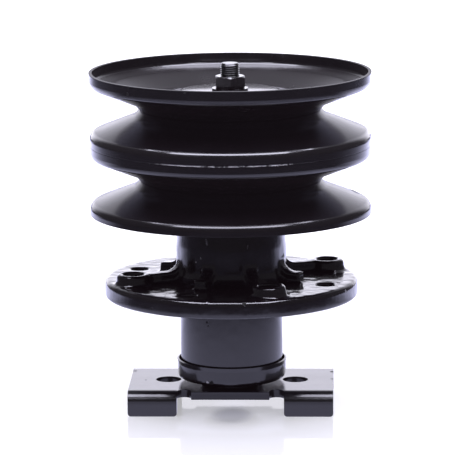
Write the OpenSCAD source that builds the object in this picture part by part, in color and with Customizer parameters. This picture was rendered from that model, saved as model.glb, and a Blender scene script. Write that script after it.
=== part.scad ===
// Blade spindle with a double belt pulley, standing on its folded blade adapter.
// Millimetres, +Z up. The origin is on the spindle axis, in the plane of the adapter's feet.
// The plate's long side lies along X.

/* [Blade adapter] */
// Length of the adapter plate
adapter_len = 101.6; // [90:0.1:125]
// Depth of the plate over its folded lips
adapter_depth = 57.2; // [48:0.1:70]
// Height of the plate's top above the feet of its lips
adapter_h = 12.3; // [10:0.1:18]
// Sheet thickness of the plate
adapter_t = 3.8; // [3:0.1:5]
// Length of each folded lip
lip_len = 24.3; // [18:0.1:28]
// Inside radius of the folds
lip_bend = 1; // [0.5:0.1:2]
// Radius of the lips' lower corners
lip_corner = 1.6; // [0.5:0.1:3]
// Width of the relief notch beside each lip
notch_w = 7.2; // [4:0.1:9]
// Depth of the relief notch, from the plate's edge
notch_depth = 5.6; // [5:0.1:8]
// Distance between the two blade bolt holes
blade_hole_span = 63.5; // [55:0.1:75]
// Diameter of the blade bolt holes
blade_hole_d = 12.7; // [10:0.1:14]

/* [Adapter collar] */
// Radius of the collar's shoulder on the plate
collar_r = 15.5; // [14:0.1:18]
// Radius of the spigot that goes through the plate
spigot_r = 13; // [11:0.1:13.5]
// Height of the dust cup's underside above the plate
collar_h = 1.9; // [1:0.1:5]
// How far the spigot stands out below the plate
spigot_out = 3; // [1:0.1:5]
// Width of the weld bead round the spigot
weld_w = 2.4; // [1:0.1:3]

/* [Dust cup] */
// Sheet thickness of the dust cup
cup_t = 0.9; // [0.6:0.1:1.2]
// Height of the cup's raised centre
cup_rise = 2; // [1.5:0.1:3]
// Radial gap between the housing's foot and the cup
cup_gap = 0.6; // [0.4:0.1:1.5]
// Height of the cup's wall over its underside
cup_h = 9.7; // [6:0.1:14]
// How far the cup's mouth flares out
cup_flare = 0.45; // [0.1:0.05:1]

/* [Bearings] */
// Bore of the ball bearings
bearing_id = 17; // [14:0.1:20.4]
// Outside diameter of the ball bearings
bearing_od = 40; // [36:0.1:48]
// Width of the ball bearings
bearing_w = 12; // [10.5:0.1:15]
// Diameter of the balls
ball_d = 6.75; // [5.5:0.05:7]
// Number of balls in each bearing
ball_count = 8; // [6:1:8]
// Length of the spacer between the two inner rings
spacer_len = 68; // [56:0.1:82]
// Wall of the spacer
spacer_wall = 2.5; // [1.5:0.1:3.5]

/* [Housing] */
// Wall of the housing's foot round the lower bearing
tube_wall = 5.4; // [3:0.1:7]
// Length of the foot below the flange
foot_len = 39.4; // [32:0.1:48]
// Wall of the neck at the flange
neck_wall = 7.5; // [5:0.1:9]
// Draft of the neck, taken off its radius at the top
neck_draft = 0.8; // [0:0.1:2]
// Diameter of the flange
flange_d = 126; // [120:0.1:152]
// Thickness of the flange
flange_t = 8.9; // [6:0.1:10]
// Diameter of the circle through the bolt bosses
bolt_circle_d = 103; // [96:0.1:106]
// Diameter of the circle through the plain holes
plain_circle_d = 101.6; // [96:0.1:106]
// Angle of the first bolt boss
bolt_angle = 22.5; // [0:0.1:44]
// Diameter of the bolt holes in the bosses
bolt_hole_d = 10.3; // [8:0.1:11]
// Diameter of the plain holes between the bosses
plain_hole_d = 8.6; // [6:0.1:10]
// Height of the bosses above the flange
boss_h = 5.3; // [4:0.1:9]
// Radius of the bosses at the top
boss_r = 8.2; // [7:0.1:9]
// Height of the ribs above the flange
rib_h = 5; // [3:0.1:8]
// Width of the ribs
rib_w = 6.5; // [5:0.1:9]
// Radius to the outer end of the short ribs
short_rib_r = 38; // [36:0.1:43]

/* [Pulley] */
// Outside diameter of the pulley discs
disc_d = 139.7; // [116:0.1:168]
// Sheet thickness of the discs
disc_t = 1.6; // [1.2:0.1:2]
// Radius at which the groove wall leaves the web
groove_foot_r = 44.6; // [38:0.1:48]
// Height of the steep wall at the groove's bottom
groove_wall_h = 3.1; // [2:0.1:5]
// Slope of the steep wall
groove_wall_angle = 47; // [40:1:60]
// Slope of the groove's flanks
flank_angle = 21.6; // [18:0.1:25]
// Height of the rims that meet between the two grooves
rim_band = 5.1; // [4:0.05:9]
// Height of the top rim
top_rim_band = 5.95; // [4:0.05:10]
// Height of the bottom rim
bottom_rim_band = 4.15; // [3.6:0.05:9]
// Gap between the two rims that meet
rim_gap = 0.2; // [0.1:0.05:1]
// Radius of the raised centre of the top disc
pad_r = 26; // [20:0.1:32]
// Height of the raised centre above the groove's middle
pad_h = 9.15; // [7:0.05:11]
// Height of the hub's foot between bearing and pulley
hub_foot = 3.75; // [2:0.05:8]
// Wall of the hub round the shaft
hub_wall = 4; // [2.5:0.1:4]
// Radius of the hub between the two grooves
hub_mid_r = 17; // [15:0.1:30]

/* [Shaft and nut] */
// Radial step from the bearing seats to the drive section
drive_step = 0.5; // [0.3:0.1:1]
// Depth of each drive flat
flat_depth = 1.5; // [0.8:0.1:2]
// Diameter of the threaded stud
stud_d = 9.525; // [8:0.005:11.5]
// Height of the stud above the nut
stud_over = 6.4; // [3:0.1:12]
// Width of the nut across its flats
nut_af = 14.29; // [13.5:0.01:17.2]
// Height of the nut
nut_h = 6; // [5:0.1:9]
// Angle of the nut's first corner
nut_angle = -85; // [-90:1:-30]
// Outside diameter of the washer
washer_d = 18; // [17:0.1:22]
// Thickness of the washer
washer_t = 1.1; // [0.8:0.1:2.5]

/* [Hidden] */
$fn = 96;
// Radial clearance of pieces that are fitted together
fit = 0.02;
// Clearance of the drive flats in the hub
drive_fit = 0.06;
// Radial clearance of pieces that are threaded over each other
slip = 0.25;
// Clearance between a seal and the ring that turns beside it
seal_gap = 0.3;
// Clearance between a ball and its tracks
track_gap = 0.15;
// Steps in a rounded corner of an outline
arc_steps = 6;
// Overlap of shapes that are joined or cut
eps = 1;

black_paint = [0.09, 0.09, 0.10];
dark_steel = [0.22, 0.22, 0.24];
bright_steel = [0.70, 0.71, 0.73];
seal_rubber = [0.12, 0.08, 0.07];
cage_plastic = [0.78, 0.76, 0.66];

// Heights up the spindle, each from the one below
plate_under = adapter_h - adapter_t;
cup_z = adapter_h + collar_h;
lower_bearing_z = cup_z + cup_rise + cup_t;
upper_bearing_z = lower_bearing_z + bearing_w + spacer_len;
hub_z = upper_bearing_z + bearing_w;
lower_groove_z = hub_z + hub_foot + disc_t;

// Mid-surface of the discs, from the middle of the groove
rim_r = (disc_d - disc_t) / 2;
flank_r = groove_foot_r + groove_wall_h / tan(groove_wall_angle);
flank_z = disc_t / 2 + groove_wall_h;
rim_z = flank_z + (rim_r - flank_r) * tan(flank_angle);

upper_groove_z = lower_groove_z + 2 * (rim_z + rim_band) + rim_gap;
pad_z = upper_groove_z + pad_h;
nut_z = pad_z + washer_t;
stud_z = nut_z + nut_h + stud_over;

// Bearing geometry
seat_r = bearing_od / 2 + fit;
pitch_r = (bearing_od + bearing_id) / 4;
inner_land_r = pitch_r - 2.15;
outer_land_r = pitch_r + 2.35;
seal_t = 0.9;
seal_recess = 1.1;
seal_r = outer_land_r + 0.8;
cage_wall = 0.8;

// Housing geometry
seat_over = 0.45;
foot_z = lower_bearing_z - seat_over;
neck_top_z = hub_z + seat_over;
core_r = seat_r - 2.5;
tube_r = seat_r + tube_wall;
neck_r = seat_r + neck_wall;
flange_z = foot_z + foot_len;
flange_top = flange_z + flange_t;
rib_z = flange_top + rib_h;

// Shaft geometry
shaft_r = bearing_id / 2 - fit;
drive_r = shaft_r - drive_step;
flat_r = drive_r - flat_depth;
neck_hub_r = min(drive_r + hub_wall, inner_land_r - 0.1);
hub_top_z = pad_z - disc_t;
shaft_foot_z = plate_under - spigot_out;

function xy(p) = [p.x, p.y];
function unit(a, b) = (b - a) / norm(b - a);
function shorter_turn(a) = a > 180 ? a - 360 : a < -180 ? a + 360 : a;

// Arc of radius r that rounds corner b of the path a, b, c
function corner(a, b, c, r) =
    let (u = unit(b, a), v = unit(b, c), half = acos(u * v) / 2)
    let (m = b + r / sin(half) * (u + v) / norm(u + v))
    let (s = b + u * r / tan(half), e = b + v * r / tan(half))
    let (a0 = atan2(s.y - m.y, s.x - m.x), a1 = atan2(e.y - m.y, e.x - m.x))
    let (turn = shorter_turn(a1 - a0))
    [for (i = [0:arc_steps]) m + r * [cos(a0 + turn * i / arc_steps), sin(a0 + turn * i / arc_steps)]];

// Outline from points [x, y, radius], each corner rounded by its radius
function rounded(p) = [for (i = [0:len(p) - 1])
    each p[i].z == 0 ? [xy(p[i])]
        : corner(xy(p[(i + len(p) - 1) % len(p)]), xy(p[i]), xy(p[(i + 1) % len(p)]), p[i].z)];

// Point i of path p, moved to its left by s
function beside(p, i, s) =
    let (a = i == 0 ? unit(p[0], p[1]) : unit(p[i - 1], p[i]))
    let (b = i == len(p) - 1 ? a : unit(p[i], p[i + 1]))
    let (m = (a + b) / norm(a + b))
    p[i] + s / (m * a) * [-m.y, m.x];

// Section of a sheet of thickness t along the mid-line p
function sheet(p, t) = concat([for (i = [0:len(p) - 1]) beside(p, i, -t / 2)],
                              [for (i = [len(p) - 1:-1:0]) beside(p, i, t / 2)]);

module turned(points) rotate_extrude() polygon(rounded(points));
module spun_sheet(points, t) rotate_extrude() polygon(sheet(rounded(points), t));
module ring(r_in, r_out, z0, z1, edge)
    turned([[r_in, z0, edge], [r_out, z0, edge], [r_out, z1, edge], [r_in, z1, edge]]);

// Inverted channel of the plate's folded ends, cut to one lip's length
module folded_end() {
    half = (adapter_depth - adapter_t) / 2;
    bend = lip_bend + adapter_t / 2;
    top = adapter_h - adapter_t / 2;
    mid_line = rounded([[-half, 0, 0], [-half, top, bend], [half, top, bend], [half, 0, 0]]);
    translate([adapter_len / 2 - lip_len, 0, 0])
        intersection() {
            rotate([90, 0, 90]) linear_extrude(lip_len) polygon(sheet(mid_line, adapter_t));
            rotate([90, 0, 0])
                linear_extrude(adapter_depth + 2 * eps, center = true)
                    polygon(rounded([[0, 0, lip_corner], [lip_len, 0, lip_corner],
                                     [lip_len, adapter_h + eps, 0], [0, adapter_h + eps, 0]]));
        }
}

module relief_notch() {
    x = adapter_len / 2 - lip_len - notch_w / 2;
    bottom_y = adapter_depth / 2 - notch_depth + notch_w / 2;
    translate([x, bottom_y, plate_under - eps]) cylinder(h = adapter_t + 2 * eps, d = notch_w);
    translate([x - notch_w / 2, bottom_y, plate_under - eps])
        cube([notch_w, adapter_depth, adapter_t + 2 * eps]);
}

module blade_adapter() {
    middle_len = adapter_len - 2 * lip_len;
    color(black_paint) difference() {
        union() {
            translate([-middle_len / 2, -adapter_depth / 2, plate_under])
                cube([middle_len, adapter_depth, adapter_t]);
            folded_end();
            mirror([1, 0, 0]) folded_end();
        }
        for (sx = [0, 1], sy = [0, 1])
            mirror([sx, 0, 0]) mirror([0, sy, 0]) relief_notch();
        for (s = [-1, 1])
            translate([s * blade_hole_span / 2, 0, plate_under - eps])
                cylinder(h = adapter_t + 2 * eps, d = blade_hole_d);
        translate([0, 0, plate_under - eps]) cylinder(h = adapter_t + 2 * eps, r = spigot_r + fit);
    }
}

// Collar through the plate, with its weld bead below
module adapter_collar() {
    nose_z = cup_z + cup_rise;
    bore = shaft_r + fit;
    nose_r = inner_land_r - 1;
    color(black_paint) turned([
        [bore, shaft_foot_z, 0],
        [spigot_r - 0.6, shaft_foot_z, 0.5],
        [spigot_r - fit, plate_under - weld_w, 0],
        [spigot_r + weld_w, plate_under, 0],
        [spigot_r - fit, plate_under, 0],
        [spigot_r - fit, adapter_h, 0],
        [collar_r, adapter_h, 0],
        [collar_r, cup_z - seal_gap, 0.5],
        [nose_r, cup_z - seal_gap, 0],
        [nose_r, nose_z, 0.4],
        [bore, nose_z, 0]
    ]);
}

module dust_cup() {
    low = cup_z + cup_t / 2;
    wall_r = tube_r + cup_gap + cup_t / 2;
    foot_r = inner_land_r - 0.4;
    color(black_paint) spun_sheet([
        [shaft_r + slip, low + cup_rise, 0],
        [foot_r, low + cup_rise, 0.8],
        [foot_r + cup_rise, low, 0.8],
        [wall_r, low, 2],
        [wall_r, cup_z + cup_h - 2, 2],
        [wall_r + cup_flare, cup_z + cup_h, 0]
    ], cup_t);
}

// Double-D prism that drives the pulley, grown by gap all round
module drive_shape(gap, height)
    intersection() {
        cylinder(h = height, r = drive_r + gap);
        translate([-drive_r - eps, -flat_r - gap, 0])
            cube([2 * (drive_r + eps), 2 * (flat_r + gap), height]);
    }

module spindle_shaft() {
    stud_r = stud_d / 2;
    drive_z = hub_z - 0.5;
    drive_top = hub_top_z - 0.5;
    color(dark_steel) union() {
        turned([[0, shaft_foot_z, 0], [shaft_r - 0.8, shaft_foot_z, 0], [shaft_r, shaft_foot_z + 0.8, 0],
                [shaft_r, drive_z - 0.5, 0], [shaft_r - 0.5, drive_z, 0], [0, drive_z, 0]]);
        translate([0, 0, drive_z - eps]) drive_shape(0, drive_top - drive_z + eps);
        turned([[0, drive_top - eps, 0], [stud_r, drive_top - eps, 0], [stud_r, stud_z - 0.9, 0],
                [stud_r - 0.9, stud_z, 0], [0, stud_z, 0]]);
    }
}

module bearing_spacer() {
    bore = shaft_r + slip;
    color(dark_steel) ring(bore, bore + spacer_wall, lower_bearing_z + bearing_w, upper_bearing_z, 0.3);
}

// Spool that carries the four discs: foot, wide middle, neck
module pulley_hub() {
    mid_z0 = lower_groove_z + disc_t;
    mid_z1 = upper_groove_z - disc_t;
    color(dark_steel) difference() {
        turned([[0, hub_z, 0], [neck_hub_r, hub_z, 0.4], [neck_hub_r, mid_z0, 0], [hub_mid_r, mid_z0, 0.6],
                [hub_mid_r, mid_z1, 0.6], [neck_hub_r, mid_z1, 0], [neck_hub_r, hub_top_z, 0.4],
                [0, hub_top_z, 0]]);
        translate([0, 0, hub_z - eps]) drive_shape(drive_fit, hub_top_z - hub_z + 2 * eps);
    }
}

// Mid-line of a disc outside its web, to a rim of the given height
function groove_side(band) = [
    [groove_foot_r, disc_t / 2, 1.5],
    [flank_r, flank_z, 4],
    [rim_r, rim_z, 3],
    [rim_r, rim_z + band, 0]
];

module sheave_disc(band)
    spun_sheet(concat([[neck_hub_r + fit, disc_t / 2, 0]], groove_side(band)), disc_t);

module upper_sheave_top_disc()
    color(black_paint) translate([0, 0, upper_groove_z])
        spun_sheet(concat([[stud_d / 2 + slip, pad_h - disc_t / 2, 0], [pad_r, pad_h - disc_t / 2, 3.5],
                           [pad_r + 2.4, disc_t / 2, 2.5]], groove_side(top_rim_band)), disc_t);

module upper_sheave_bottom_disc()
    color(black_paint) translate([0, 0, upper_groove_z]) mirror([0, 0, 1]) sheave_disc(rim_band);

module lower_sheave_top_disc()
    color(black_paint) translate([0, 0, lower_groove_z]) sheave_disc(rim_band);

module lower_sheave_bottom_disc()
    color(black_paint) translate([0, 0, lower_groove_z]) mirror([0, 0, 1]) sheave_disc(bottom_rim_band);

module washer()
    color(black_paint) ring(stud_d / 2 + slip, washer_d / 2, pad_z, nut_z, 0);

// Hexagon nut, its corners cut back by a cone at both ends
module top_nut() {
    face_r = nut_af / 2 - 0.3;
    cone_r = face_r + nut_h / 2 / tan(30);
    color(black_paint) translate([0, 0, nut_z]) difference() {
        intersection() {
            rotate(nut_angle) cylinder(h = nut_h, r = nut_af / 2 / cos(30), $fn = 6);
            turned([[0, 0, 0], [face_r, 0, 0], [cone_r, nut_h / 2, 0], [face_r, nut_h, 0], [0, nut_h, 0]]);
        }
        translate([0, 0, -eps]) cylinder(h = nut_h + 2 * eps, r = stud_d / 2 + fit);
    }
}

// Radial rib from the neck out to radius reach, with a hollow curve up the neck
module rib(angle, reach) {
    root_r = (core_r + neck_r) / 2 + 1;
    foot = flange_top - eps;
    neck = neck_r - 0.4;
    rise = 9;
    rotate(angle) rotate([90, 0, 0])
        linear_extrude(rib_w, center = true)
            polygon(rounded([[root_r, foot, 0], [reach, foot, 0], [reach, rib_z, 1.2], [neck, rib_z, 7],
                             [neck, rib_z + rise, 0], [root_r, rib_z + rise, 0]]));
}

// Drafted boss round a bolt hole
module boss() {
    top = flange_top + boss_h;
    turned([[0, flange_top - eps, 0], [boss_r + 0.9, flange_top - eps, 0], [boss_r, top, 1.6], [0, top, 0]]);
}

module housing_turning()
    turned([
        [seat_r, foot_z + 0.6, 0], [seat_r + 0.6, foot_z, 0],
        [tube_r, foot_z, 0.8],
        [tube_r, flange_z, 1.5],
        [flange_d / 2, flange_z, 1.5],
        [flange_d / 2, flange_top, 2.4],
        [neck_r, flange_top, 6],
        [neck_r - neck_draft, neck_top_z, 1],
        [seat_r + 0.6, neck_top_z, 0], [seat_r, neck_top_z - 0.6, 0],
        [seat_r, upper_bearing_z, 0],
        [core_r, upper_bearing_z, 0],
        [core_r, lower_bearing_z + bearing_w, 0],
        [seat_r, lower_bearing_z + bearing_w, 0]
    ]);

// One casting: foot, flange, bosses, ribs and neck
module spindle_housing() {
    bolt_r = bolt_circle_d / 2;
    color(black_paint) difference() {
        union() {
            housing_turning();
            for (k = [0:3]) {
                angle = bolt_angle + 90 * k;
                rib(angle, bolt_r);
                rib(angle - 45, short_rib_r);
                rotate(angle) translate([bolt_r, 0, 0]) boss();
            }
        }
        for (k = [0:3]) {
            rotate(bolt_angle + 90 * k) translate([bolt_r, 0, flange_z - eps])
                cylinder(h = flange_t + boss_h + 2 * eps, d = bolt_hole_d);
            rotate(bolt_angle - 45 + 90 * k) translate([plain_circle_d / 2, 0, flange_z - eps])
                cylinder(h = flange_t + 2 * eps, d = plain_hole_d);
        }
    }
}

// Groove that the balls run in
module ball_track(z)
    rotate_extrude()
        translate([pitch_r, z + bearing_w / 2]) circle(r = ball_d / 2 + track_gap);

module outer_ring(z)
    color(bright_steel) difference() {
        turned([[outer_land_r, z + seal_recess, 0], [seal_r + fit, z + seal_recess, 0], [seal_r + fit, z, 0],
                [bearing_od / 2, z, 0.8], [bearing_od / 2, z + bearing_w, 0.8],
                [seal_r + fit, z + bearing_w, 0], [seal_r + fit, z + bearing_w - seal_recess, 0],
                [outer_land_r, z + bearing_w - seal_recess, 0]]);
        ball_track(z);
    }

module inner_ring(z)
    color(bright_steel) difference() {
        turned([[bearing_id / 2, z, 0.6], [inner_land_r, z, 0.4], [inner_land_r, z + bearing_w, 0.4],
                [bearing_id / 2, z + bearing_w, 0.6]]);
        ball_track(z);
    }

module balls(z)
    color(bright_steel) for (k = [0:ball_count - 1])
        rotate(360 / ball_count * k) translate([pitch_r, 0, z + bearing_w / 2]) sphere(d = ball_d);

// Crown cage: a ring under the balls with open pockets
module cage(z) {
    pocket_r = ball_d / 2 + 0.1;
    color(cage_plastic) difference() {
        ring(pitch_r - 1, pitch_r + 1, z + bearing_w / 2 - pocket_r - cage_wall, z + bearing_w / 2 + 1.5, 0);
        for (k = [0:ball_count - 1])
            rotate(360 / ball_count * k) translate([pitch_r, 0, z + bearing_w / 2]) sphere(r = pocket_r);
    }
}

module seal(z) color(seal_rubber) ring(inner_land_r + seal_gap, seal_r, z, z + seal_t, 0);
module bottom_seal(z) seal(z + seal_recess - seal_t);
module top_seal(z) seal(z + bearing_w - seal_recess);

spindle_housing();
spindle_shaft();
adapter_collar();
blade_adapter();
dust_cup();
bearing_spacer();
pulley_hub();
upper_sheave_top_disc();
upper_sheave_bottom_disc();
lower_sheave_top_disc();
lower_sheave_bottom_disc();
washer();
top_nut();
outer_ring(upper_bearing_z);  // upper_outer_ring
inner_ring(upper_bearing_z);  // upper_inner_ring
balls(upper_bearing_z);  // upper_balls
cage(upper_bearing_z);  // upper_cage
top_seal(upper_bearing_z);  // upper_top_seal
bottom_seal(upper_bearing_z);  // upper_bottom_seal
outer_ring(lower_bearing_z);  // lower_outer_ring
inner_ring(lower_bearing_z);  // lower_inner_ring
balls(lower_bearing_z);  // lower_balls
cage(lower_bearing_z);  // lower_cage
top_seal(lower_bearing_z);  // lower_top_seal
bottom_seal(lower_bearing_z);  // lower_bottom_seal
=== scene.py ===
import math

import bmesh
import bpy
import numpy as np
from mathutils import Matrix, Vector, noise


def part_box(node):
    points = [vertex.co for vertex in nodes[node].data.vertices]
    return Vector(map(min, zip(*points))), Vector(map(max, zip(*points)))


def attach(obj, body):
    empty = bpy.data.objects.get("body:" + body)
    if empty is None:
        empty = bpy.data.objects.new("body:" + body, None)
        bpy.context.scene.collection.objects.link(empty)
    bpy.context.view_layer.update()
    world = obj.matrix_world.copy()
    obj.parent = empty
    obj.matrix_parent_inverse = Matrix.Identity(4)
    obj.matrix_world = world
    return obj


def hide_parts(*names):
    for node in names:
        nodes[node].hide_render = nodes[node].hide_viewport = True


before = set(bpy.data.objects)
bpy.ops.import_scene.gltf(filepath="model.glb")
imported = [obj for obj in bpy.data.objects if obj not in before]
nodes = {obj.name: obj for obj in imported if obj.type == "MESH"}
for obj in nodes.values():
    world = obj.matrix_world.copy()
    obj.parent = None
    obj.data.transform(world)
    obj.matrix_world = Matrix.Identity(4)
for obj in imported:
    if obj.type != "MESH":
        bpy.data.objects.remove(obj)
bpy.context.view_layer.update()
scene = bpy.context.scene
mm = 0.001
print("frame loaded:", len(nodes), "nodes")


class Wire:
    # Wraps an output socket of a node tree; sums and products add their Math nodes
    def __init__(self, tree, socket=None):
        self.tree = tree
        self.socket = socket

    def node(self, kind, settings=None, inputs=None, out=0):
        made = self.tree.nodes.new("ShaderNode" + kind)
        for name, value in (settings or {}).items():
            setattr(made, name, value)
        for name, value in (inputs or {}).items():
            if isinstance(value, Wire):
                self.tree.links.new(value.socket, made.inputs[name])
            else:
                made.inputs[name].default_value = value
        return Wire(self.tree, made.outputs[out]) if len(made.outputs) else None

    def maths(self, operation, first, second=0.0):
        return self.node("Math", {"operation": operation}, {0: first, 1: second})

    def __add__(self, other):
        return self.maths("ADD", self, other)

    def __sub__(self, other):
        return self.maths("SUBTRACT", self, other)

    def __rsub__(self, other):
        return self.maths("SUBTRACT", other, self)

    def __mul__(self, other):
        return self.maths("MULTIPLY", self, other)

    def __truediv__(self, other):
        return self.maths("DIVIDE", self, other)

    __radd__ = __add__
    __rmul__ = __mul__

    def most(self, other):
        return self.maths("MAXIMUM", self, other)

    def step(self, low, high):  # soft step from 0 at low to 1 at high
        return self.node("MapRange", {"interpolation_type": "SMOOTHSTEP"},
                         {"Value": self, "From Min": low, "From Max": high})

    def vector(self, operation, other, out=0):
        return self.node("VectorMath", {"operation": operation}, {0: self, 1: other}, out)

    def axes(self):
        parts = [self.node("SeparateXYZ", {}, {0: self}, k) for k in range(3)]
        return parts

    def tint(self, low, high):  # colour low where the mask is 0, high where it is 1
        return self.node("Mix", {"data_type": "RGBA"}, {0: self, 6: low, 7: high}, 2)

    def cloud(self, size, detail=2.0, roughness=0.5):  # noise with features of this size, in metres
        return self.node("TexNoise", {}, {"Vector": self, "Scale": 1 / size, "Detail": detail,
                                          "Roughness": roughness}, "Fac")

    def stretched(self, factors):
        return self.vector("MULTIPLY", factors)


def startMaterial(name):
    material = bpy.data.materials.new(name)
    material.use_nodes = True
    material.node_tree.nodes.clear()
    return material, Wire(material.node_tree).node("TexCoord", out="Object")


def endMaterial(start, shader):
    start.node("OutputMaterial", {}, {"Surface": shader})


def spots(place, marks, soft=0.35, ragged=0.5 * mm):
    # Mask of small ragged spots, each given as x, y, z and radius in millimetres
    wander = place.cloud(1.1 * mm, 3) - 0.5
    mask = None
    for x, y, z, radius in marks:
        away = place.vector("DISTANCE", (x * mm, y * mm, z * mm), "Value") + wander * (2 * ragged)
        spot = 1 - away.step(radius * mm * (1 - soft), radius * mm)
        mask = spot if mask is None else mask.most(spot)
    return mask


def paint(name, look):
    # Gloss black paint: dark base under a clear gloss, with haze, waves, orange peel, specks and chips
    material, place = startMaterial(name)
    haze = place.cloud(22 * mm, 4, 0.6).step(0.42, 0.75)
    grime = place.cloud(5 * mm, 5, 0.7).step(0.55, 0.8)
    specks = place.cloud(look["speckSize"] * mm, 1).step(look["speckLevel"], look["speckLevel"] + 0.04)
    chips = spots(place, look["chips"]) if look["chips"] else None
    darks = spots(place, look["nicks"]) if look["nicks"] else None
    x, y, z = place.axes()
    reach = (x * x + y * y).maths("SQRT", x * x + y * y)
    inner = reach.step(27 * mm, 29 * mm) * (1 - reach.step(66.6 * mm, 68.6 * mm))

    colour = (haze * 0.5 + grime * 0.5).tint(look["colour"], look["hazeColour"])
    colour = specks.tint(colour, look["speckColour"])
    rough = look["roughness"] + haze * look["hazeRoughness"] + grime * (0.5 * look["hazeRoughness"])
    height = place.cloud(look["waveSize"] * mm, 1) * look["waveHeight"]
    height = height + place.cloud(look["peelSize"] * mm, 2) * look["peelHeight"] + specks * 0.008
    metal, coat = None, (1 - inner * look["satin"]) * look["coat"]
    # Bare rubbed spots along the seam, kept to the front of the rims: partly wear, partly a painted highlight of
    # the seam's glints
    if look["seamWearAndGlint"]:
        edge = (z - look["seamWearAndGlint"]).maths("ABSOLUTE", z - look["seamWearAndGlint"])
        wearAndGlint = (1 - edge.step(0.08 * mm, 0.38 * mm)) * place.cloud(4 * mm, 3, 0.7).step(0.42, 0.5)
        wearAndGlint = wearAndGlint * (0 - y).step(60 * mm, 65 * mm)
        chips = wearAndGlint if chips is None else chips.most(wearAndGlint)
    if look["matt"]:
        worn = z.step((look["matt"] - 0.1) * mm, (look["matt"] + 0.1) * mm)
        rough = rough + worn * 0.4
        coat = coat * (1 - worn * 0.8)
    if look["bend"]:
        start, end, steepen, slope, level = look["bend"]
        upperSide = (z - reach * slope).step((level - 0.3) * mm, (level + 0.3) * mm)
        along = (reach / mm - start).most(0.0)
        along = along.maths("MINIMUM", along, end - start)
        height = height + along * along * upperSide * (steepen / 2)
    if look["fold"]:
        top, start, end, swell = look["fold"]
        height = height + (top * mm - z).step(start * mm, end * mm) * swell
    if darks:
        colour = darks.tint(colour, (0.004, 0.0035, 0.003, 1))
        rough = rough + darks * 0.5
        coat = coat * (1 - darks)
        height = height - darks * 0.12
    # The chips mask also carries the seam's rubbed spots, which are partly a painted highlight
    if chips:
        colour = chips.tint(colour, look["chipColour"])
        rough = rough + chips * 0.25
        height = height - chips * 0.08
        metal = chips * 0.7
        coat = coat * (1 - chips)
    bump = place.node("Bump", {}, {"Strength": 1.0, "Distance": mm, "Height": height})
    if look["edge"]:
        rounded = place.node("Bevel", {"samples": 6}, {"Radius": look["edge"] * mm})
        bump = place.node("Bump", {}, {"Strength": 1.0, "Distance": mm, "Height": height, "Normal": rounded})
    # The emission is a faint painted glow that lifts the paint's blacks
    sockets = {"Base Color": colour, "Roughness": rough, "Normal": bump, "IOR": 1.5,
               "Coat Weight": coat, "Coat Roughness": look["coatRoughness"], "Coat IOR": 1.5,
               "Emission Color": look["paintedGlow"], "Emission Strength": 1.0}
    if metal:
        sockets["Metallic"] = metal
    endMaterial(place, place.node("BsdfPrincipled", {}, sockets))
    return material


# Camera, fitted to the photograph; it stands a little round from the adapter's long side
cameraLook = {"distance": 1.7, "height": 0.40641, "turn": 0.0334471, "pan": -0.0010172,
              "tilt": 0.1841696, "roll": -0.0069972, "lens": 275.095}


def placeCamera(look):
    turn, tilt, roll = look["turn"], look["tilt"], look["roll"]
    heading = look["pan"] - turn
    ahead = Vector((math.sin(heading) * math.cos(tilt), math.cos(heading) * math.cos(tilt), -math.sin(tilt)))
    right = Vector((math.cos(heading), -math.sin(heading), 0))
    up = right.cross(ahead)
    side = right * math.cos(roll) + up * math.sin(roll)
    top = up * math.cos(roll) - right * math.sin(roll)
    data = bpy.data.cameras.new("photoCamera")
    data.sensor_width, data.lens = 36, look["lens"]
    data.clip_start, data.clip_end = 0.1, 20
    camera = bpy.data.objects.new("photoCamera", data)
    scene.collection.objects.link(camera)
    matrix = Matrix((side, top, -ahead)).transposed().to_4x4()
    matrix.translation = (look["distance"] * math.sin(turn), -look["distance"] * math.cos(turn), look["height"])
    camera.matrix_world = matrix
    scene.camera = camera


placeCamera(cameraLook)
scene.view_settings.view_transform = "Standard"

# Studio: white paper in a dim room, a lit backdrop behind it and a large soft box overhead
studioLook = {"halfWidth": 1.8, "front": -1.6, "back": 5.0, "paperColour": (0.86, 0.86, 0.88, 1),
              "paperGlow": 0.83, "paperGloss": 1.26, "paperRoughness": 0.055,
              "footShadow": [(0.6, -14.3, 0, 14)],
              "shade": 0.07, "lit": 0.62, "litBehind": 1.05, "litFar": 0.5,
              "paperTint": (0.97, 0.975, 1.38, 1), "backdropTint": (1.0, 0.985, 1.13, 1),
              "backdrop": 1.40, "room": 0.08, "roomBehind": 0.32, "roomBelow": 0.05, "roomDiffuse": 0.55,
              "boxHeight": 1.15, "boxHalfWidth": 0.64, "boxFront": -0.68, "boxBack": 0.40,
              "boxGloss": 8.0, "boxLight": 3.5, "boxTint": (1.0, 0.985, 1.18)}


def buildRoom(look):
    world = bpy.data.worlds.new("dimRoom")
    world.use_nodes = True
    world.node_tree.nodes.clear()
    scene.world = world
    start = Wire(world.node_tree)
    x, y, z = start.node("TexCoord", out="Generated").axes()
    seen = start.node("LightPath", out="Is Camera Ray").most(start.node("LightPath", out="Is Transmission Ray"))
    gloss = start.node("LightPath", out="Is Glossy Ray")
    behind = (1 - z.step(0.0, 0.62)) * look["backdrop"] + look["roomBehind"]
    behind = behind * (1 - x.maths("ABSOLUTE", x).step(0.32, 0.66))
    above = look["room"] + y.step(0.05, 0.65) * behind
    room = look["roomBelow"] + z.step(-0.02, 0.02) * (above - look["roomBelow"])
    level = gloss * room + (1 - gloss) * look["roomDiffuse"]
    level = seen + (1 - seen) * level
    colour = (level * 0.5).tint((0, 0, 0, 1), look["backdropTint"])
    shader = start.node("Background", {}, {"Color": seen.tint(colour, (0.5, 0.5, 0.5, 1)), "Strength": 2.0})
    start.node("OutputWorld", {}, {"Surface": shader})


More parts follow.
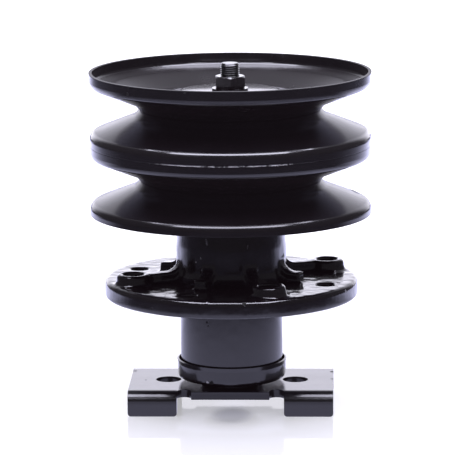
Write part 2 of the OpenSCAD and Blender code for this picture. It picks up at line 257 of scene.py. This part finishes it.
def buildSweep(look):
    wide, front, back = look["halfWidth"], look["front"], look["back"]
    mesh = bpy.data.meshes.new("paperSweep")
    mesh.from_pydata([(-wide, front, 0), (wide, front, 0), (wide, back, 0), (-wide, back, 0)], [], [(0, 1, 2, 3)])
    sweep = bpy.data.objects.new("paperSweep", mesh)
    scene.collection.objects.link(sweep)
    material, place = startMaterial("sweepPaper")
    gloss = place.node("LightPath", out="Is Glossy Ray")
    seen = place.node("LightPath", out="Is Camera Ray").most(place.node("LightPath", out="Is Transmission Ray"))
    grain = place.cloud(3 * mm, 2) * 0.004
    # Painted shadow: the paper glows less before the collar's foot, which stands close above it
    x, y, z = place.axes()
    away = (x * x + y * y).maths("SQRT", x * x + y * y)
    shaded = spots(place.stretched((1, 0.55, 1)), look["footShadow"], 0.7, 1.5 * mm)
    glowing = 0.45 - 0.25 * shaded + 0.55 * away.step(0.22, 0.6)
    paper = place.node("BsdfPrincipled", {}, {
        "Base Color": look["paperColour"], "Roughness": look["paperRoughness"], "IOR": look["paperGloss"],
        "Normal": place.node("Bump", {}, {"Strength": 1.0, "Distance": mm, "Height": grain}),
        "Emission Color": (seen * glowing).tint((0, 0, 0, 1), (1, 1, 1, 1)),
        "Emission Strength": look["paperGlow"]})
    # In the gloss the paper fades out to the sides and towards the camera, and brightens to the back
    aside = x.maths("ABSOLUTE", x)
    side = 1 - aside.step(0.3, 0.9)
    near = (1 - away.step(0.15, 0.36)) * look["lit"]
    level = near.most(y.step(0.0, 0.25) * look["litBehind"]) + y.step(0.3, 0.6) * look["litFar"]
    level = level * side + look["shade"]
    glow = place.node("Emission", {}, {"Color": (level * 0.5).tint((0, 0, 0, 1), look["paperTint"]),
                                       "Strength": 2.0})
    endMaterial(place, place.node("MixShader", {}, {0: gloss, 1: paper, 2: glow}))
    mesh.materials.append(material)


def hangSoftBox(name, look, radiance, gloss):
    data = bpy.data.lights.new(name, "AREA")
    data.shape = "RECTANGLE"
    data.size, data.size_y = 2 * look["boxHalfWidth"], look["boxBack"] - look["boxFront"]
    data.energy, data.color = radiance * math.pi * data.size * data.size_y, look["boxTint"]
    box = bpy.data.objects.new(name, data)
    box.location = (0, (look["boxFront"] + look["boxBack"]) / 2, look["boxHeight"])
    box.visible_camera = False
    box.visible_glossy, box.visible_diffuse = gloss, not gloss
    scene.collection.objects.link(box)


buildRoom(studioLook)
buildSweep(studioLook)
hangSoftBox("softBoxGloss", studioLook, studioLook["boxGloss"], True)
hangSoftBox("softBoxLight", studioLook, studioLook["boxLight"], False)
print("camera, table and lights placed")

# Paint on the pressed sheet pieces, and what differs on each of the others
sheetPaint = {
    "colour": (0.005, 0.0035, 0.0047, 1), "hazeColour": (0.008, 0.0062, 0.008, 1),
    # paintedGlow: faint emission in the paint, painted light in the blacks
    "paintedGlow": (0.0027, 0.0016, 0.0023, 1),
    "speckColour": (0.05, 0.05, 0.055, 1), "chipColour": (0.55, 0.54, 0.56, 1),
    "roughness": 0.30, "hazeRoughness": 0.04, "coat": 1.0, "coatRoughness": 0.09,
    "waveSize": 24, "waveHeight": 0.05, "peelSize": 1.8, "peelHeight": 0.0035,
    "speckSize": 0.7, "speckLevel": 0.84, "edge": 0.25, "satin": 0.0, "chips": [], "nicks": [], "bend": None,
    "seamWearAndGlint": 0.0, "matt": 0.0, "fold": None,
}
# The discs' paint glows a little more, painted light that lifts the shade in the grooves
satinDiscPaint = dict(sheetPaint, satin=1.0, roughness=0.19, paintedGlow=(0.0045, 0.0033, 0.0044, 1))
topDiscPaint = dict(satinDiscPaint, satin=0.68, roughness=0.24, coatRoughness=0.06, bend=(62.0, 67.0, 0.08, 0.3976, 134.72), matt=167.8, nicks=[(-47.7, -51.0, 164.4, 0.9), (-47.2, -51.5, 167.6, 0.7),
                                           (-19.1, -67.1, 167.6, 0.7)])
bottomDiscPaint = dict(satinDiscPaint, coat=0.42, nicks=[(61.2, 15.5, 105.2, 1.7), (60.7, 18.8, 105.0, 1.9),
                              (60.2, 22.0, 104.8, 1.7), (62.7, 12.3, 104.9, 1.3)],
                       chips=[(61.6, 15.6, 104.9, 0.7), (64.4, 11.5, 104.0, 0.6)])
castPaint = dict(sheetPaint, coat=0.85, waveSize=6, waveHeight=0.075, peelSize=1.3, peelHeight=0.010,
                 speckSize=0.6, speckLevel=0.76, edge=0, roughness=0.16, coatRoughness=0.06,
                 hazeRoughness=0.10, chipColour=(0.30, 0.29, 0.31, 1),
                 chips=[(57.1, -26.3, 62.9, 1.0), (-9.6, -61.5, 64.4, 0.6), (13.6, -60.9, 64.4, 0.6),
                        (-12.0, -24.3, 89.0, 0.4), (-11.7, -24.4, 88.2, 0.4), (-11.4, -24.5, 87.4, 0.4),
                        (-11.2, -24.6, 86.6, 0.4), (-11.0, -24.7, 85.8, 0.4), (9.0, -25.6, 85.3, 0.3),
                        (8.9, -25.7, 84.6, 0.3), (8.9, -25.7, 83.9, 0.3), (-14.1, -23.3, 78.8, 0.6),
                        (-16.6, -21.7, 76.5, 0.6), (-25.9, -8.0, 76.0, 0.5), (-25.9, -10.9, 74.0, 0.6)],
                 nicks=[(8.3, -62.0, 63.9, 1.1), (-11.4, -22.7, 46.5, 0.8), (-10.9, -22.9, 44.6, 0.5),
                        (-36.9, -51.0, 59.1, 0.7)])
cupPaint = dict(sheetPaint, waveSize=9, waveHeight=0.03, nicks=[(-9.3, -25.2, 16.3, 1.3)],
                chips=[(-11.4, -24.5, 16.4, 0.8)])
platePaint = dict(sheetPaint, waveSize=14, waveHeight=0.05, peelSize=1.5, peelHeight=0.006, edge=0.5,
                  fold=(12.3, -0.5, 6.8, 1.15),
                  nicks=[(50.3, 17.0, 12.3, 1.5), (-49.8, 18.4, 12.3, 1.2), (-43.1, -1.7, 12.3, 0.7),
                         (50.3, 0.8, 12.3, 1.1)])
nutPaint = dict(sheetPaint, waveSize=2, waveHeight=0.02, peelSize=0.6, peelHeight=0.006, edge=0.3,
                roughness=0.16, coatRoughness=0.05)


def bareSteel(name, colour, roughness, ringHeight, paintedFrom=None):
    # Turned or ground steel: fine rings round the axis, with oily stains; black paint from a height up
    material, place = startMaterial(name)
    x, y, z = place.axes()
    reach = (x * x + y * y).maths("SQRT", x * x + y * y)
    rings = place.node("CombineXYZ", {}, {0: reach, 1: 0.0, 2: z}).cloud(0.18 * mm, 2)
    stain = place.cloud(6 * mm, 4, 0.6)
    shade = (stain * 0.6 + rings * 0.4).tint(tuple(0.75 * c for c in colour[:3]) + (1,), colour)
    bump = place.node("Bump", {}, {"Strength": 1.0, "Distance": mm, "Height": rings * ringHeight})
    sockets = {"Base Color": shade, "Metallic": 1.0, "Roughness": roughness + stain * 0.12, "Normal": bump}
    if paintedFrom:
        painted = z.step(paintedFrom, paintedFrom + 0.1 * mm)
        sockets.update({"Base Color": painted.tint(shade, (0.006, 0.005, 0.006, 1)), "Metallic": 1 - painted,
                        "Coat Weight": painted * 0.7, "Coat Roughness": 0.09})
    endMaterial(place, place.node("BsdfPrincipled", {}, sockets))
    return material


def moulded(name, colour, dark, roughness, grain):
    # Rubber or plastic with a fine moulded grain
    material, place = startMaterial(name)
    cloud = place.cloud(1.5 * mm, 4, 0.6)
    bump = place.node("Bump", {}, {"Strength": 1.0, "Distance": mm, "Height": place.cloud(0.25 * mm, 2) * grain})
    endMaterial(place, place.node("BsdfPrincipled", {}, {
        "Base Color": cloud.tint(dark, colour), "Roughness": roughness + cloud * 0.15, "Normal": bump}))
    return material


turned = bareSteel("turnedSteel", (0.42, 0.42, 0.44, 1), 0.25, 0.006)
ground = bareSteel("groundSteel", (0.62, 0.63, 0.65, 1), 0.12, 0.001)
rubber = moulded("sealRubber", (0.045, 0.027, 0.022, 1), (0.025, 0.017, 0.015, 1), 0.5, 0.01)
plastic = moulded("cagePlastic", (0.62, 0.57, 0.44, 1), (0.55, 0.49, 0.36, 1), 0.4, 0.006)
seamHeight = (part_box("lower_sheave_top_disc")[1].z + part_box("upper_sheave_bottom_disc")[0].z) / 2
# The seam's rubbed spots on these discs are partly a painted highlight
discPaint = paint("discPaint", dict(satinDiscPaint, seamWearAndGlint=seamHeight))
plainPaint = paint("plainPaint", sheetPaint)
finishes = {
    "upper_sheave_top_disc": paint("topDiscPaint", topDiscPaint),
    "upper_sheave_bottom_disc": discPaint,
    "lower_sheave_top_disc": discPaint,
    "lower_sheave_bottom_disc": paint("bottomDiscPaint", bottomDiscPaint),
    "blade_adapter": paint("platePaint", platePaint),
    "dust_cup": paint("cupPaint", cupPaint),
    "adapter_collar": plainPaint,
    "spindle_shaft": bareSteel("shaftSteel", (0.42, 0.42, 0.44, 1), 0.16, 0.002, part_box("top_nut")[0].z),
    "spindle_housing": paint("castPaint", castPaint),
    "top_nut": paint("nutPaint", nutPaint),
    "washer": paint("washerPaint", nutPaint),
}
for name, node in nodes.items():
    finish = finishes.get(name)
    if finish is None and name.endswith("cage"):
        finish = plastic
    elif finish is None and name.endswith("seal"):
        finish = rubber
    elif finish is None and name.endswith(("ring", "balls")):
        finish = ground
    node.data.materials.clear()
    node.data.materials.append(finish or turned)
print("finishes set")


def newPiece(name, mesh, body, finish):
    piece = bpy.data.objects.new(name, mesh)
    scene.collection.objects.link(piece)
    mesh.materials.clear()
    mesh.materials.append(finish)
    mesh.polygons.foreach_set("use_smooth", [True] * len(mesh.polygons))
    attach(piece, body)
    return piece


# The casting: its skin is softened into fillets and given the lumps of the sand
castLook = {"voxel": 0.83, "passes": 4, "lumpSize": 5.0, "lumpHeight": 0.14, "grainSize": 1.5,
            "grainHeight": 0.05, "footShare": 0.12, "rimShare": 0.4, "neckShare": 0.25,
            "neckRadius": 29.5, "neckDraft": 0.07}


def castHousing(look):
    source = nodes["spindle_housing"]
    rough = bpy.data.objects.new("roughCasting", source.data.copy())
    scene.collection.objects.link(rough)
    skin = rough.modifiers.new("skin", "REMESH")
    skin.mode, skin.voxel_size = "VOXEL", look["voxel"] * mm
    soften = rough.modifiers.new("soften", "SMOOTH")
    soften.factor, soften.iterations = 0.5, look["passes"]
    mesh = bpy.data.meshes.new_from_object(rough.evaluated_get(bpy.context.evaluated_depsgraph_get()))
    bpy.data.objects.remove(rough)
    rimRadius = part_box("spindle_housing")[1].x
    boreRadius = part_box("lower_outer_ring")[1].x + 0.8 * mm
    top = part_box("spindle_housing")[1].z
    underside = top - (109.55 - 56.05) * mm
    points = np.empty(len(mesh.vertices) * 3)
    normals = np.empty(len(mesh.vertices) * 3)
    mesh.vertices.foreach_get("co", points)
    mesh.vertex_normals.foreach_get("vector", normals)
    points, normals = points.reshape(-1, 3), normals.reshape(-1, 3)
    for co, normal in zip(points, normals):
        reach = math.hypot(co[0], co[1])
        share = 1.0
        if reach < boreRadius:
            share = 0.0
        elif co[2] < underside + 0.8 * mm:
            share = look["footShare"]
        elif reach > rimRadius - 1.5 * mm:
            share = look["rimShare"]
        elif co[2] > top - 38 * mm:
            share = look["neckShare"]
        lump = noise.noise(Vector(co) / (look["lumpSize"] * mm)) * look["lumpHeight"]
        grain = noise.noise(Vector(co) / (look["grainSize"] * mm)) * look["grainHeight"]
        co += normal * ((lump + grain) * share * mm)
        if boreRadius + 0.5 * mm < reach < look["neckRadius"] * mm and co[2] > top - 38 * mm:
            lean = max(-mm, min(0.25 * mm, look["neckDraft"] * (top - 24 * mm - co[2])))
            blend = min(1.0, max(0.0, (co[2] - (top - 38 * mm)) / (8 * mm)))
            co[:2] *= 1 + lean * blend / reach
    mesh.vertices.foreach_set("co", points.ravel())
    piece = newPiece("housing_casting", mesh, "housing", finishes["spindle_housing"])
    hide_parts("spindle_housing")
    print("casting skinned:", len(mesh.polygons), "faces")


castHousing(castLook)

# The stud's thread, 24 to the inch, cut into the shaft above the nut's seat
threadLook = {"pitch": 25.4 / 24, "depth": 0.52, "around": 72, "stepsPerTurn": 12, "chamfer": 0.9}


def lathe(shape, rings):
    # Closes a stack of equally divided rings of points into one solid
    rows = [[shape.verts.new(point) for point in ring] for ring in rings]
    count = len(rows[0])
    for low, high in zip(rows, rows[1:]):
        for k in range(count):
            shape.faces.new((low[k], low[(k + 1) % count], high[(k + 1) % count], high[k]))
    shape.faces.new(list(reversed(rows[0])))
    shape.faces.new(rows[-1])


def threadedShaft(look):
    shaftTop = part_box("spindle_shaft")[1].z
    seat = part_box("top_nut")[0].z
    studRadius = 4.7625 * mm
    shape = bmesh.new()
    shape.from_mesh(nodes["spindle_shaft"].data)
    bmesh.ops.remove_doubles(shape, verts=shape.verts, dist=1e-7)
    cut = bmesh.ops.bisect_plane(shape, geom=shape.verts[:] + shape.edges[:] + shape.faces[:],
                                 plane_co=(0, 0, seat + 0.5 * mm), plane_no=(0, 0, 1), clear_outer=True)
    edges = [item for item in cut["geom_cut"] if isinstance(item, bmesh.types.BMEdge)]
    bmesh.ops.holes_fill(shape, edges=edges, sides=0)
    pitch = look["pitch"] * mm
    rings = []
    steps = int((shaftTop - seat) / pitch * look["stepsPerTurn"])
    for i in range(steps + 1):
        z = seat + (shaftTop - seat) * i / steps
        limit = studRadius - max(0.0, z - (shaftTop - look["chamfer"] * mm))
        ring = []
        for k in range(look["around"]):
            angle = 2 * math.pi * k / look["around"]
            phase = (z / pitch - angle / (2 * math.pi)) % 1.0
            crest = min(1.0, max(0.0, 1.35 * abs(2 * phase - 1) - 0.15))
            reach = min(limit, studRadius - look["depth"] * mm * (1 - crest))
            ring.append((reach * math.cos(angle), reach * math.sin(angle), z))
        rings.append(ring)
    lathe(shape, rings)
    bmesh.ops.recalc_face_normals(shape, faces=shape.faces)
    mesh = bpy.data.meshes.new("threaded_shaft")
    shape.to_mesh(mesh)
    shape.free()
    piece = newPiece("threaded_shaft", mesh, "rotor", finishes["spindle_shaft"])
    mesh.polygons.foreach_set("use_smooth", [abs(p.normal.z) < 0.9 for p in mesh.polygons])
    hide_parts("spindle_shaft")
    print("thread cut:", len(mesh.polygons), "faces")


threadedShaft(threadLook)

# Paint that has run into the seam between the two rims, with breaks
seamLook = {"radius": 69.42, "width": 0.5, "around": 900, "sides": 8, "breakSize": 5.0}


def seamBead(look):
    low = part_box("lower_sheave_top_disc")[1].z
    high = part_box("upper_sheave_bottom_disc")[0].z
    middle = (low + high) / 2
    shape = bmesh.new()
    loops = []
    for i in range(look["around"]):
        angle = 2 * math.pi * i / look["around"]
        spot = Vector((math.cos(angle), math.sin(angle), 0)) * look["radius"] * mm
        swell = 0.5 + 0.5 * noise.noise(spot / (look["breakSize"] * mm)) \
            + 0.25 * noise.noise(spot / (0.9 * mm))
        thick = look["width"] * mm * max(0.25, swell)
        loop = []
        for k in range(look["sides"]):
            turn = 2 * math.pi * k / look["sides"]
            reach = look["radius"] * mm + thick * math.cos(turn) * 0.8
            loop.append(shape.verts.new((reach * math.cos(angle), reach * math.sin(angle),
                                         middle + thick * math.sin(turn))))
        loops.append(loop)
    for i, loop in enumerate(loops):
        after = loops[(i + 1) % len(loops)]
        for k in range(look["sides"]):
            shape.faces.new((loop[k], after[k], after[(k + 1) % look["sides"]], loop[(k + 1) % look["sides"]]))
    bmesh.ops.recalc_face_normals(shape, faces=shape.faces)
    mesh = bpy.data.meshes.new("rim_seam_paint")
    shape.to_mesh(mesh)
    shape.free()
    newPiece("rim_seam_paint", mesh, "rotor", plainPaint)
    print("seam painted")


seamBead(seamLook)

print("done")
